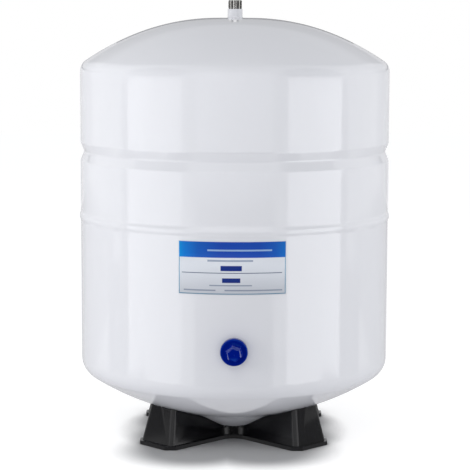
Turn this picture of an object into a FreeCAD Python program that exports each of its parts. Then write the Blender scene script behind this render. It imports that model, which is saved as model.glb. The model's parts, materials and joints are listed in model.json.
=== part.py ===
# Reverse osmosis storage tank: two drawn steel halves with an air-charged diaphragm inside,
# a threaded outlet on top, an air valve low at the front, and a moulded four-leg stand.
# Millimetres, +Z up. The origin is on the floor, on the tank's axis. Label and valve face -Y.
import FreeCAD, Part
import math
import os
import Sketcher

document = FreeCAD.newDocument("storage_tank")
sizes = document.addObject("Spreadsheet::Sheet", "Sizes")

DRIVING_SIZES = [
    ("shell_r", 139.5, "outer radius of the steel shell"),
    ("shell_wall", 1.0, "thickness of the steel"),
    ("seam_z", 200.5, "height of the seam between the two halves"),
    ("shoulder_z", 330.0, "height where the wall turns into the dome"),
    ("shoulder_knuckle_r", 12.0, "outer radius of the dome's edge"),
    ("nose_z", 6.54, "height of the centre boss's flat end above the floor"),
    ("foot_knuckle_r", 17.0, "outer radius of the bottom's edge"),
    ("dish_r", 240.0, "outer radius of the dished heads"),
    ("crown_flat", 3.0, "how far the flat round the port lies below the dish's own top"),
    ("crown_margin", 5.7, "width of that flat beyond the liner's gasket"),
    ("nose_drop", 10.5, "how far the centre boss hangs below the dish's own low point"),
    ("nose_cone_r", 57.6, "radius where the boss's cone meets the dish"),
    ("nose_slope", 30.0, "slope of the boss's cone, in degrees"),
    ("nose_fillet_r", 40.0, "hollow radius at the cone's upper end"),
    ("nose_edge_r", 20.0, "round radius at the cone's lower end"),
    ("groove_z", 258.8, "height of the rolled groove"),
    ("groove_half", 9.0, "half the groove's height"),
    ("groove_depth", 3.0, "depth of the groove"),
    ("groove_lip_r", 5.0, "outer radius of the groove's lips"),
    ("groove_root_r", 3.5, "outer radius of the groove's root"),
    ("weld_half", 5.3, "half the height of the seam weld"),
    ("weld_crest", 0.8, "half the height of its crest"),
    ("weld_proud", 1.1, "how far the weld stands out"),
    ("neck_r", 6.6, "outer radius of the port's collar"),
    ("neck_rise", 8.0, "height of the collar above the flat"),
    ("neck_weld", 1.4, "leg of the fillet weld at the collar's foot"),
    ("thread_r", 6.1, "outer radius of the connector's thread"),
    ("thread_rise", 8.0, "length of the thread"),
    ("thread_chamfer", 0.9, "chamfer at the thread's end"),
    ("shank_r", 5.2, "radius of the connector's shank"),
    ("outlet_bore_r", 3.2, "radius of the connector's bore"),
    ("shank_fit", 0.1, "radial clearance round the shank"),
    ("ring_groove_r", 4.4, "radius at the bottom of the O-ring's groove"),
    ("ring_groove_drop", 4.0, "depth of that groove below the collar's rim"),
    ("connector_nut_flats", 16.0, "width across the connector nut's flats"),
    ("connector_nut_rise", 5.0, "thickness of the connector's nut"),
    ("shank_tail", 1.0, "how far the shank passes its nut"),
    ("liner_gasket_r", 9.5, "outer radius of the liner's gasket"),
    ("liner_gasket_wall", 1.5, "thickness of the liner's gasket"),
    ("liner_wall", 1.6, "thickness of the liner"),
    ("liner_gap", 0.3, "gap between shell and liner"),
    ("liner_foot", 2.0, "height of the liner's foot above the groove"),
    ("diaphragm_wall", 2.0, "thickness of the diaphragm"),
    ("diaphragm_drop", 6.0, "how far the diaphragm's dome hangs below a parallel one"),
    ("skirt_rise", 22.0, "height of the diaphragm's skirt above the liner's foot"),
    ("lobe_rise", 3.0, "height of its rolling fold above the liner's foot"),
    ("hoop_wall", 1.2, "thickness of the clamp ring"),
    ("hoop_rise", 12.0, "height of the clamp ring"),
    ("hoop_foot", 5.0, "height of the clamp ring's foot above the liner's"),
    ("hoop_gap", 0.6, "gap between the clamp ring and the diaphragm's inner limb"),
    ("valve_rise", 29.1, "height of the air valve above the bottom's rounded edge"),
    ("stem_head_r", 8.0, "radius of the stem's inner head"),
    ("stem_head_wall", 2.5, "thickness of the stem's inner head"),
    ("stem_gasket_wall", 2.0, "thickness of the rubber washer inside the wall"),
    ("stem_shank_r", 4.3, "radius of the stem in the wall"),
    ("stem_fit", 0.1, "radial clearance round the stem's shank"),
    ("stem_tip_r", 3.85, "radius of the stem's outer thread"),
    ("stem_reach", 15.0, "length of the stem outside the wall"),
    ("stem_bore_r", 2.1, "radius of the stem's air way"),
    ("core_bore_r", 2.6, "radius of the chamber for the valve core"),
    ("core_seat", 6.0, "distance of the core's seat from the wall"),
    ("valve_washer_r", 7.5, "radius of the steel washer"),
    ("valve_washer_wall", 1.2, "thickness of the steel washer"),
    ("valve_nut_flats", 12.0, "width across the valve nut's flats"),
    ("valve_nut_rise", 3.3, "thickness of the valve's nut"),
    ("core_r", 2.5, "radius of the core's housing"),
    ("core_rise", 3.5, "length of the core's housing"),
    ("core_nose_r", 1.5, "radius of the housing's nose"),
    ("core_nose_rise", 4.5, "length of the nose, with the seal on it"),
    ("core_hole_r", 0.85, "radius of the hole for the pin"),
    ("core_seal_wall", 1.0, "thickness of the core's seal"),
    ("core_seal_fit", 0.05, "radial clearance inside and outside the seal"),
    ("pin_r", 0.6, "radius of the core's pin"),
    ("pin_recess", 0.3, "how far the pin's end lies inside the stem's mouth"),
    ("pin_tip", 0.9, "length of the pin beyond its collar"),
    ("pin_collar_r", 1.6, "radius of the pin's collar"),
    ("pin_collar_wall", 0.5, "thickness of the pin's collar"),
    ("pin_head_r", 1.1, "radius of the head that holds the poppet"),
    ("pin_head_wall", 0.6, "thickness of that head"),
    ("poppet_r", 1.75, "radius of the rubber poppet"),
    ("poppet_wall", 1.0, "thickness of the rubber poppet"),
    ("poppet_gap", 0.05, "gap between the poppet and its seat"),
    ("spring_r", 1.25, "mean radius of the core's spring"),
    ("spring_wire_r", 0.16, "radius of the spring's wire"),
    ("spring_turns", 4.0, "number of turns of the spring"),
    ("cap_r", 11.7, "radius of the cap's disc"),
    ("cap_gap", 0.8, "gap between cap and wall"),
    ("cap_disc", 5.9, "thickness of the cap's disc"),
    ("cap_cavity_r", 9.4, "radius of the hollow over the nut"),
    ("cap_cavity", 4.3, "depth of that hollow"),
    ("cap_fit", 0.08, "radial clearance between the cap's socket and the stem"),
    ("cap_boss_base", 13.6, "width across the boss's flats at the disc"),
    ("cap_boss_tip", 9.8, "width across the boss's flats at its end"),
    ("cap_boss_end", 19.0, "distance of the boss's end from the wall"),
    ("cap_turned", 12.0, "how far the boss is turned from upright, in degrees"),
    ("cap_gasket_wall", 1.0, "thickness of the rubber disc in the cap"),
    ("cap_gasket_fit", 0.2, "radial clearance round that disc"),
    ("label_width", 92.0, "width of the label along the wall"),
    ("label_z", 147.8, "height of the label's foot"),
    ("label_rise", 45.2, "height of the label"),
    ("label_wall", 0.15, "thickness of the label"),
    ("label_glue", 0.2, "thickness of the glue behind the label"),
    ("label_shift", 1.7, "how far the label sits left of the middle"),
    ("leg_half", 20.5, "half the width of a leg at the floor"),
    ("leg_reach", 98.5, "distance of a leg's end from the axis at the floor"),
    ("leg_side_draft", 8.0, "draft of the legs' sides, in degrees"),
    ("leg_end_draft", 12.5, "draft of the legs' ends, in degrees"),
    ("leg_corner_r", 4.0, "radius of the legs' outer corners"),
    ("crotch_r", 16.0, "radius between two legs"),
    ("stand_wall", 3.0, "wall of the stand"),
    ("seat_gap", 0.3, "gap between stand and tank"),
    ("foot_flange_wall", 3.4, "thickness of the flange at the floor"),
    ("foot_flange_side", 2.7, "how far the flange stands out at the sides"),
    ("foot_flange_end", 3.5, "how far the flange stands out at the ends"),
    ("foot_flange_corner", 7.0, "chamfer at the flange's corners"),
    ("rib_wall", 2.0, "thickness of the ribs under the stand"),
    ("rib_lift", 1.0, "height of the ribs' lower edge"),
    ("hub_pad_r", 10.0, "radius of the pad at the middle of the stand"),
    ("ledge_depth", 1.6, "depth of the step in the legs' sides"),
    ("ledge_start", 30.0, "distance of the step's inner end from the axis"),
    ("ledge_elbow", 61.5, "distance of the step's elbow from the axis"),
    ("ledge_end", 68.0, "distance of the step's outer end from the axis"),
    ("ledge_start_z", 9.2, "height of the step's inner end"),
    ("ledge_elbow_z", 19.4, "height of the step's elbow"),
    ("ledge_end_z", 27.5, "height of the step's outer end"),
]

for row, (alias, number, meaning) in enumerate(DRIVING_SIZES, 1):
    sizes.set("A%d" % row, meaning)
    sizes.set("B%d" % row, str(number))
    sizes.setAlias("B%d" % row, alias)
document.recompute()

Z_AXIS = FreeCAD.Vector(0, 0, 1)
# Part primitives are sunk or raised by this much past what they cut.
OVERRUN = 5.0


def size(alias):
    return float(sizes.get(alias))


def dish_centre_drop(knuckle_r):
    """Height between a head's knuckle centre and the centre of its dish."""
    return math.sqrt(
        (size("dish_r") - knuckle_r) ** 2 - (size("shell_r") - knuckle_r) ** 2
    )


# Heights and distances that several pieces share, as expressions of the driving sizes.
LAND_Z = (
    "(Sizes.shoulder_z + Sizes.dish_r - Sizes.crown_flat"
    " - sqrt((Sizes.dish_r - Sizes.shoulder_knuckle_r)^2"
    " - (Sizes.shell_r - Sizes.shoulder_knuckle_r)^2))"
)
FOOT_Z = (
    "(Sizes.nose_z + Sizes.nose_drop + Sizes.dish_r"
    " - sqrt((Sizes.dish_r - Sizes.foot_knuckle_r)^2"
    " - (Sizes.shell_r - Sizes.foot_knuckle_r)^2))"
)
VALVE_Z = "(" + FOOT_Z + " + Sizes.valve_rise)"
THREAD_Z = "(" + LAND_Z + " + Sizes.neck_rise)"
OUTLET_TOP = "(" + THREAD_Z + " + Sizes.thread_rise)"
RING_Z = "(" + THREAD_Z + " - Sizes.ring_groove_drop)"
PORT_R = "(Sizes.shank_r + Sizes.shank_fit)"
RING_SECTION_R = "((" + PORT_R + " - Sizes.ring_groove_r) / 2)"
LINER_CEILING = "(" + LAND_Z + " - Sizes.shell_wall - Sizes.liner_gap - Sizes.liner_wall)"
CONNECTOR_NUT_TOP = "(" + LINER_CEILING + " - Sizes.liner_gasket_wall)"
CONNECTOR_NUT_FOOT = "(" + CONNECTOR_NUT_TOP + " - Sizes.connector_nut_rise)"
SHANK_FOOT = "(" + CONNECTOR_NUT_FOOT + " - Sizes.shank_tail)"
LINER_FOOT = "(Sizes.groove_z + Sizes.groove_half + Sizes.liner_foot)"
LINER_INNER_R = "(Sizes.shell_r - Sizes.shell_wall - Sizes.liner_gap - Sizes.liner_wall)"
HOOP_OUTER_R = "(" + LINER_INNER_R + " - Sizes.diaphragm_wall)"
GASKET_FOOT = "(Sizes.shell_r - Sizes.shell_wall - Sizes.stem_gasket_wall)"
STEM_FOOT = "(" + GASKET_FOOT + " - Sizes.stem_head_wall)"
STEM_HOLE_R = "(Sizes.stem_shank_r + Sizes.stem_fit)"
NUT_FOOT = "(Sizes.shell_r + Sizes.valve_washer_wall)"
NUT_TOP = "(" + NUT_FOOT + " + Sizes.valve_nut_rise)"
STEM_END = "(Sizes.shell_r + Sizes.stem_reach)"
CORE_SEAT = "(Sizes.shell_r + Sizes.core_seat)"
CORE_FOOT = "(" + CORE_SEAT + " + Sizes.core_seal_wall)"
CORE_TOP = "(" + CORE_FOOT + " + Sizes.core_rise)"
CORE_NOSE = "(" + CORE_FOOT + " - Sizes.core_nose_rise)"
PIN_END = "(" + STEM_END + " - Sizes.pin_recess)"
COLLAR_TOP = "(" + PIN_END + " - Sizes.pin_tip)"
COLLAR_FOOT = "(" + COLLAR_TOP + " - Sizes.pin_collar_wall)"
POPPET_TOP = "(" + CORE_NOSE + " - Sizes.poppet_gap)"
POPPET_FOOT = "(" + POPPET_TOP + " - Sizes.poppet_wall)"
PIN_FOOT = "(" + POPPET_FOOT + " - Sizes.pin_head_wall)"
CAP_BACK = "(Sizes.shell_r + Sizes.cap_gap)"
CAP_FACE = "(" + CAP_BACK + " + Sizes.cap_disc)"
CAP_END = "(Sizes.shell_r + Sizes.cap_boss_end)"
SOCKET_R = "(Sizes.stem_tip_r + Sizes.cap_fit)"
SOCKET_END = "(" + STEM_END + " + Sizes.cap_gasket_wall)"

# The same values as numbers, for the shapes that are set in code.
shell_inner_r = size("shell_r") - size("shell_wall")
foot_z = (
    size("nose_z") + size("nose_drop") + size("dish_r")
    - dish_centre_drop(size("foot_knuckle_r"))
)
valve_z = foot_z + size("valve_rise")
port_r = size("shank_r") + size("shank_fit")
liner_outer_r = shell_inner_r - size("liner_gap")
liner_inner_r = liner_outer_r - size("liner_wall")
liner_foot_z = size("groove_z") + size("groove_half") + size("liner_foot")
hoop_outer_r = liner_inner_r - size("diaphragm_wall")
limb_outer_r = hoop_outer_r - size("hoop_wall") - size("hoop_gap")
limb_inner_r = limb_outer_r - size("diaphragm_wall")

pieces = []


def keep(item, label):
    """Give a finished piece its own label and list it for export."""
    item.Label = label
    pieces.append(item)
    return item


def bind(item, **expressions):
    """Bind properties to expressions; a double underscore stands for a dot."""
    for name, expression in expressions.items():
        item.setExpression(name.replace("__", "."), expression)
    return item


def on_valve_axis(item, distance=None):
    """Stand an item on the valve's axis, its own Z pointing out of the wall."""
    item.Placement = FreeCAD.Placement(
        FreeCAD.Vector(0, 0, 0), FreeCAD.Rotation(FreeCAD.Vector(1, 0, 0), 90)
    )
    bind(item, Placement__Base__z=VALVE_Z)
    if distance:
        bind(item, Placement__Base__y="-" + distance)
    return item


def turned(label, corners):
    """A turned body: corners are (radius, height) expressions of its half section."""
    body = document.addObject("PartDesign::Body", label)
    profile = body.newObject("Sketcher::SketchObject", label + "_profile")
    plane = [item for item in body.Origin.OriginFeatures if item.Role == "XZ_Plane"][0]
    profile.AttachmentSupport = [(plane, "")]
    profile.MapMode = "FlatFace"
    count = len(corners)
    # The corners start evenly round a circle; the bound dimensions then move them.
    start = []
    for index in range(count):
        angle = 2 * math.pi * index / count
        start.append(FreeCAD.Vector(3 + math.cos(angle), 3 + math.sin(angle), 0))
    for index in range(count):
        profile.addGeometry(Part.LineSegment(start[index], start[(index + 1) % count]), False)
    for index in range(count):
        following = (index + 1) % count
        profile.addConstraint(Sketcher.Constraint("Coincident", index, 2, following, 1))
    for index, (radius, height) in enumerate(corners):
        for kind, place, expression in (
            ("DistanceX", start[index].x, radius),
            ("DistanceY", start[index].y, height),
        ):
            constraint = Sketcher.Constraint(kind, -1, 1, index, 1, place)
            number = profile.addConstraint(constraint)
            profile.setExpression("Constraints[%d]" % number, expression)
    turn = body.newObject("PartDesign::Revolution", label + "_turn")
    turn.Profile = profile
    turn.ReferenceAxis = (profile, ["V_Axis"])
    turn.Angle = 360
    return keep(body, label)


def cylinder(name, radius, rise, foot="0"):
    """A Part cylinder along Z, bound to the sheet."""
    item = document.addObject("Part::Cylinder", name)
    return bind(item, Radius=radius, Height=rise, Placement__Base__z=foot)


def cut(name, base, tool):
    item = document.addObject("Part::Cut", name)
    item.Base = base
    item.Tool = tool
    return item


def made(label, shape, placement=None):
    """A piece whose shape is set in code."""
    item = document.addObject("Part::Feature", label)
    item.Shape = shape
    if placement:
        item.Placement = placement
    return keep(item, label)


# Half sections in the XZ plane

def point(radius, height):
    return FreeCAD.Vector(radius, 0, height)


def line(start, end):
    return Part.LineSegment(start, end).toShape()


def arc(centre, radius, first, last):
    """An arc round centre, from the first to the last direction, in degrees from +X."""
    ends = []
    for angle in (first, (first + last) / 2, last):
        turn = math.radians(angle)
        ends.append(centre + point(radius * math.cos(turn), radius * math.sin(turn)))
    return Part.Arc(*ends).toShape()


def solid_of_revolution(edges):
    """Close a chain of edges along the axis or by a straight end, and turn it about Z."""
    ordered = Part.__sortEdges__(edges)
    return Part.Face(Part.Wire(ordered)).revolve(FreeCAD.Vector(0, 0, 0), Z_AXIS, 360)


def groove_edges(offset):
    """The rolled groove, from its lower lip to its upper lip, offset outwards."""
    lip_r = size("groove_lip_r")
    root_r = size("groove_root_r")
    half = size("groove_half")
    depth = size("groove_depth")
    middle = size("groove_z")
    across = lip_r + root_r - depth
    flank = math.degrees(
        math.atan2(half, across) - math.acos((lip_r + root_r) / math.hypot(across, half))
    )
    lower = point(size("shell_r") - lip_r, middle - half)
    upper = point(size("shell_r") - lip_r, middle + half)
    root = point(size("shell_r") - depth + root_r, middle)
    low_lip = arc(lower, lip_r + offset, 0, flank)
    root_arc = arc(root, root_r - offset, 180 + flank, 180 - flank)
    high_lip = arc(upper, lip_r + offset, -flank, 0)
    return [
        low_lip,
        line(low_lip.Vertexes[-1].Point, root_arc.Vertexes[0].Point),
        root_arc,
        line(root_arc.Vertexes[-1].Point, high_lip.Vertexes[0].Point),
        high_lip,
    ]


def dome_edges(offset, foot, drop=0.0, grooved=False):
    """The wall and domed top, from height foot up to the axis, offset outwards."""
    wall_r = size("shell_r") + offset
    knuckle_r = size("shoulder_knuckle_r")
    shoulder = size("shoulder_z") - drop
    below = dish_centre_drop(knuckle_r)
    dish = point(0, shoulder - below)
    land = dish.z + size("dish_r") - size("crown_flat")
    # The blend touches the flat at its rim and the dish from inside.
    blend_x = size("liner_gasket_r") + size("crown_margin")
    blend_r = size("dish_r") - size("crown_flat") / 2 - blend_x ** 2 / size("crown_flat") / 2
    blend_z = land - blend_r
    knuckle_turn = math.degrees(math.atan2(below, size("shell_r") - knuckle_r))
    blend_turn = math.degrees(math.atan2(blend_z - dish.z, blend_x))
    if grooved:
        rolled = groove_edges(offset)
        wall = [line(point(wall_r, foot), rolled[0].Vertexes[0].Point)]
        wall += rolled
        wall.append(line(rolled[-1].Vertexes[-1].Point, point(wall_r, shoulder)))
    else:
        wall = [line(point(wall_r, foot), point(wall_r, shoulder))]
    return wall + [
        arc(point(size("shell_r") - knuckle_r, shoulder), knuckle_r + offset, 0, knuckle_turn),
        arc(dish, size("dish_r") + offset, knuckle_turn, blend_turn),
        arc(point(blend_x, blend_z), blend_r + offset, blend_turn, 90),
        line(point(blend_x, land + offset), point(0, land + offset)),
    ]


def bottom_edges(offset, top):
    """The wall and dished bottom, from height top down to the axis, offset outwards."""
    wall_r = size("shell_r") + offset
    knuckle_r = size("foot_knuckle_r")
    dish_r = size("dish_r")
    fillet_r = size("nose_fillet_r")
    edge_r = size("nose_edge_r")
    above = dish_centre_drop(knuckle_r)
    dish = point(0, foot_z + above)
    nose_z = size("nose_z")
    knuckle_turn = math.degrees(math.atan2(above, size("shell_r") - knuckle_r))
    slope = math.radians(size("nose_slope"))
    along = point(math.cos(slope), math.sin(slope))
    outwards = point(math.sin(slope), -math.cos(slope))
    cone_r = size("nose_cone_r")
    meeting = point(cone_r, dish.z - math.sqrt(dish_r ** 2 - cone_r ** 2))
    # The hollow fillet touches the cone and, from outside, the dish.
    reach = meeting - dish + outwards * fillet_r
    back = reach.dot(along)
    slide = -back - math.sqrt(back ** 2 - reach.dot(reach) + (dish_r + fillet_r) ** 2)
    fillet = dish + reach + along * slide
    to_fillet = (fillet - dish).normalize()
    fillet_turn = math.degrees(math.atan2(to_fillet.z, to_fillet.x))
    # The round edge touches the cone and the boss's flat end.
    edge_z = nose_z + edge_r
    edge_x = cone_r + ((edge_z - meeting.z) * math.cos(slope) - edge_r) / math.sin(slope)
    edge = point(edge_x, edge_z)
    cone_turn = -90 + size("nose_slope")
    cone_top = fillet - outwards * (fillet_r - offset)
    cone_foot = edge + outwards * (edge_r + offset)
    return [
        line(point(wall_r, top), point(wall_r, foot_z)),
        arc(
            point(size("shell_r") - knuckle_r, foot_z),
            knuckle_r + offset, 0, -knuckle_turn,
        ),
        arc(dish, dish_r + offset, -knuckle_turn, fillet_turn),
        arc(fillet, fillet_r - offset, 180 + fillet_turn, 180 + cone_turn),
        line(cone_top, cone_foot),
        arc(edge, edge_r + offset, cone_turn, -90),
        line(point(edge_x, nose_z - offset), point(0, nose_z - offset)),
    ]


def between(outer, inner):
    """The solid between two half sections that run from the same height to the axis."""
    ends = [
        line(outer[0].Vertexes[0].Point, inner[0].Vertexes[0].Point),
        line(outer[-1].Vertexes[-1].Point, inner[-1].Vertexes[-1].Point),
    ]
    return solid_of_revolution(outer + inner + ends)


# Steel shell

def steel_shell():
    wall = size("shell_wall")
    seam = size("seam_z")
    upper = between(dome_edges(0, seam, grooved=True), dome_edges(-wall, seam, grooved=True))
    port = Part.makeCylinder(port_r, size("shoulder_z"), FreeCAD.Vector(0, 0, seam))
    made("upper_shell", upper.cut(port))
    lower = between(bottom_edges(0, seam), bottom_edges(-wall, seam))
    valve_hole = Part.makeCylinder(
        size("stem_shank_r") + size("stem_fit"),
        size("shell_r") + OVERRUN,
        FreeCAD.Vector(0, 0, valve_z),
        FreeCAD.Vector(0, -1, 0),
    )
    made("lower_shell", lower.cut(valve_hole))
    turned("seam_weld", [
        ("Sizes.shell_r", "Sizes.seam_z - Sizes.weld_half"),
        ("Sizes.shell_r + Sizes.weld_proud", "Sizes.seam_z - Sizes.weld_crest"),
        ("Sizes.shell_r + Sizes.weld_proud", "Sizes.seam_z + Sizes.weld_crest"),
        ("Sizes.shell_r", "Sizes.seam_z + Sizes.weld_half"),
    ])


# Outlet: collar, threaded connector and its seals

def outlet():
    turned("port_neck", [
        (PORT_R, LAND_Z),
        ("Sizes.neck_r", LAND_Z),
        ("Sizes.neck_r", THREAD_Z),
        (PORT_R, THREAD_Z),
    ])
    turned("neck_weld", [
        ("Sizes.neck_r", LAND_Z),
        ("Sizes.neck_r + Sizes.neck_weld", LAND_Z),
        ("Sizes.neck_r", LAND_Z + " + Sizes.neck_weld"),
    ])
    turned("inlet_connector", [
        ("Sizes.outlet_bore_r", SHANK_FOOT),
        ("Sizes.shank_r", SHANK_FOOT),
        ("Sizes.shank_r", RING_Z + " - " + RING_SECTION_R),
        ("Sizes.ring_groove_r", RING_Z + " - " + RING_SECTION_R),
        ("Sizes.ring_groove_r", RING_Z + " + " + RING_SECTION_R),
        ("Sizes.shank_r", RING_Z + " + " + RING_SECTION_R),
        ("Sizes.shank_r", THREAD_Z),
        ("Sizes.thread_r", THREAD_Z),
        ("Sizes.thread_r", OUTLET_TOP + " - Sizes.thread_chamfer"),
        ("Sizes.thread_r - Sizes.thread_chamfer", OUTLET_TOP),
        ("Sizes.outlet_bore_r", OUTLET_TOP),
    ])
    ring = document.addObject("Part::Torus", "connector_o_ring")
    bind(
        ring,
        Radius1="Sizes.ring_groove_r + " + RING_SECTION_R,
        Radius2=RING_SECTION_R,
        Placement__Base__z=RING_Z,
    )
    keep(ring, "connector_o_ring")
    turned("liner_gasket", [
        (PORT_R, CONNECTOR_NUT_TOP),
        ("Sizes.liner_gasket_r", CONNECTOR_NUT_TOP),
        ("Sizes.liner_gasket_r", LINER_CEILING),
        (PORT_R, LINER_CEILING),
    ])
    blank = document.addObject("Part::Prism", "connector_nut_blank")
    blank.Polygon = 6
    bind(
        blank,
        Circumradius="Sizes.connector_nut_flats / 2 / cos(30deg)",
        Height="Sizes.connector_nut_rise",
        Placement__Base__z=CONNECTOR_NUT_FOOT,
    )
    hole = cylinder(
        "connector_nut_hole", "Sizes.shank_r", "Sizes.connector_nut_rise", CONNECTOR_NUT_FOOT
    )
    keep(cut("connector_nut", blank, hole), "connector_nut")


# Water side: liner, diaphragm and the hoop that clamps it

def water_side():
    outer = dome_edges(liner_outer_r - size("shell_r"), liner_foot_z)
    inner = dome_edges(liner_inner_r - size("shell_r"), liner_foot_z)
    port = Part.makeCylinder(port_r, size("shoulder_z"), FreeCAD.Vector(0, 0, liner_foot_z))
    made("dome_liner", between(outer, inner).cut(port))

    wall = size("diaphragm_wall")
    fold_z = liner_foot_z + size("lobe_rise")
    skirt_z = liner_foot_z + size("skirt_rise")
    drop = size("diaphragm_drop")
    limb_outer = dome_edges(limb_outer_r - size("shell_r"), fold_z, drop)
    limb_inner = dome_edges(limb_inner_r - size("shell_r"), fold_z, drop)
    fold = point((hoop_outer_r + limb_outer_r) / 2, fold_z)
    fold_inner_r = (hoop_outer_r - limb_outer_r) / 2
    made("diaphragm", solid_of_revolution([
        line(point(liner_inner_r, skirt_z), point(liner_inner_r, fold_z)),
        arc(fold, fold_inner_r + wall, 0, -180),
        *limb_inner,
        line(limb_inner[-1].Vertexes[-1].Point, limb_outer[-1].Vertexes[-1].Point),
        *limb_outer,
        arc(fold, fold_inner_r, -180, 0),
        line(point(hoop_outer_r, fold_z), point(hoop_outer_r, skirt_z)),
        line(point(hoop_outer_r, skirt_z), point(liner_inner_r, skirt_z)),
    ]))

    hoop_foot = LINER_FOOT + " + Sizes.hoop_foot"
    turned("clamp_ring", [
        (HOOP_OUTER_R + " - Sizes.hoop_wall", hoop_foot),
        (HOOP_OUTER_R, hoop_foot),
        (HOOP_OUTER_R, hoop_foot + " + Sizes.hoop_rise"),
        (HOOP_OUTER_R + " - Sizes.hoop_wall", hoop_foot + " + Sizes.hoop_rise"),
    ])


# Air valve, along its own axis: heights are distances from the tank's axis

def air_valve():
    on_valve_axis(turned("valve_stem", [
        ("Sizes.stem_bore_r", STEM_FOOT),
        ("Sizes.stem_head_r", STEM_FOOT),
        ("Sizes.stem_head_r", GASKET_FOOT),
        ("Sizes.stem_shank_r", GASKET_FOOT),
        ("Sizes.stem_shank_r", NUT_TOP),
        ("Sizes.stem_tip_r", NUT_TOP),
        ("Sizes.stem_tip_r", STEM_END),
        ("Sizes.core_bore_r", STEM_END),
        ("Sizes.core_bore_r", CORE_SEAT),
        ("Sizes.stem_bore_r", CORE_SEAT),
    ]))

    rise = "Sizes.stem_gasket_wall + Sizes.shell_wall"
    disc = on_valve_axis(
        cylinder("valve_gasket_disc", "Sizes.stem_head_r", rise), GASKET_FOOT
    )
    hole = on_valve_axis(
        cylinder("valve_gasket_hole", STEM_HOLE_R, rise), GASKET_FOOT
    )
    inside = cylinder(
        "tank_inside", "Sizes.shell_r - Sizes.shell_wall", "2 * " + VALVE_Z
    )
    gasket = document.addObject("Part::Common", "valve_gasket")
    gasket.Base = cut("valve_gasket_ring", disc, hole)
    gasket.Tool = inside
    keep(gasket, "valve_gasket")

    rise = "Sizes.valve_washer_wall + Sizes.shell_wall"
    foot = "(Sizes.shell_r - Sizes.shell_wall)"
    disc = on_valve_axis(cylinder("valve_washer_disc", "Sizes.valve_washer_r", rise), foot)
    hole = on_valve_axis(cylinder("valve_washer_hole", STEM_HOLE_R, rise), foot)
    tank = cylinder("tank_outside", "Sizes.shell_r", "2 * " + VALVE_Z)
    keep(cut("valve_washer", cut("valve_washer_ring", disc, hole), tank), "valve_washer")

    blank = document.addObject("Part::Prism", "valve_nut_blank")
    blank.Polygon = 6
    on_valve_axis(blank, NUT_FOOT)
    bind(
        blank,
        Circumradius="Sizes.valve_nut_flats / 2 / cos(30deg)",
        Height="Sizes.valve_nut_rise",
    )
    hole = on_valve_axis(
        cylinder("valve_nut_hole", "Sizes.stem_shank_r", "Sizes.valve_nut_rise"), NUT_FOOT
    )
    keep(cut("valve_nut", blank, hole), "valve_nut")


def valve_core():
    on_valve_axis(turned("core_barrel", [
        ("Sizes.core_hole_r", CORE_NOSE),
        ("Sizes.core_nose_r", CORE_NOSE),
        ("Sizes.core_nose_r", CORE_FOOT),
        ("Sizes.core_r", CORE_FOOT),
        ("Sizes.core_r", CORE_TOP),
        ("Sizes.core_hole_r", CORE_TOP),
    ]))
    seal_inner = "Sizes.core_nose_r + Sizes.core_seal_fit"
    seal_outer = "Sizes.core_bore_r - Sizes.core_seal_fit"
    on_valve_axis(turned("core_seal", [
        (seal_inner, CORE_SEAT),
        (seal_outer, CORE_SEAT),
        (seal_outer, CORE_FOOT),
        (seal_inner, CORE_FOOT),
    ]))
    on_valve_axis(turned("core_pin", [
        ("0", PIN_FOOT),
        ("Sizes.pin_head_r", PIN_FOOT),
        ("Sizes.pin_head_r", POPPET_FOOT),
        ("Sizes.pin_r", POPPET_FOOT),
        ("Sizes.pin_r", COLLAR_FOOT),
        ("Sizes.pin_collar_r", COLLAR_FOOT),
        ("Sizes.pin_collar_r", COLLAR_TOP),
        ("Sizes.pin_r", COLLAR_TOP),
        ("Sizes.pin_r", PIN_END),
        ("0", PIN_END),
    ]))
    on_valve_axis(turned("core_disc", [
        ("Sizes.pin_r", POPPET_FOOT),
        ("Sizes.poppet_r", POPPET_FOOT),
        ("Sizes.poppet_r", POPPET_TOP),
        ("Sizes.pin_r", POPPET_TOP),
    ]))

    # The spring's wire, eight-sided, runs between the housing and the pin's collar.
    core_top = size("shell_r") + size("core_seat") + size("core_seal_wall") + size("core_rise")
    collar_foot = (
        size("shell_r") + size("stem_reach") - size("pin_recess")
        - size("pin_tip") - size("pin_collar_wall")
    )
    wire_r = size("spring_wire_r")
    rise = collar_foot - core_top - 2 * wire_r
    path = Part.makeHelix(rise / size("spring_turns"), rise, size("spring_r"))
    corners = []
    for index in range(9):
        turn = math.radians(45 * index + 22.5)
        corners.append(point(size("spring_r") + wire_r * math.cos(turn), wire_r * math.sin(turn)))
    coil = Part.Wire(path).makePipeShell([Part.makePolygon(corners)], True, True)
    made("core_spring", coil, FreeCAD.Placement(
        FreeCAD.Vector(0, -core_top - wire_r, valve_z),
        FreeCAD.Rotation(FreeCAD.Vector(1, 0, 0), 90),
    ))


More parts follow.
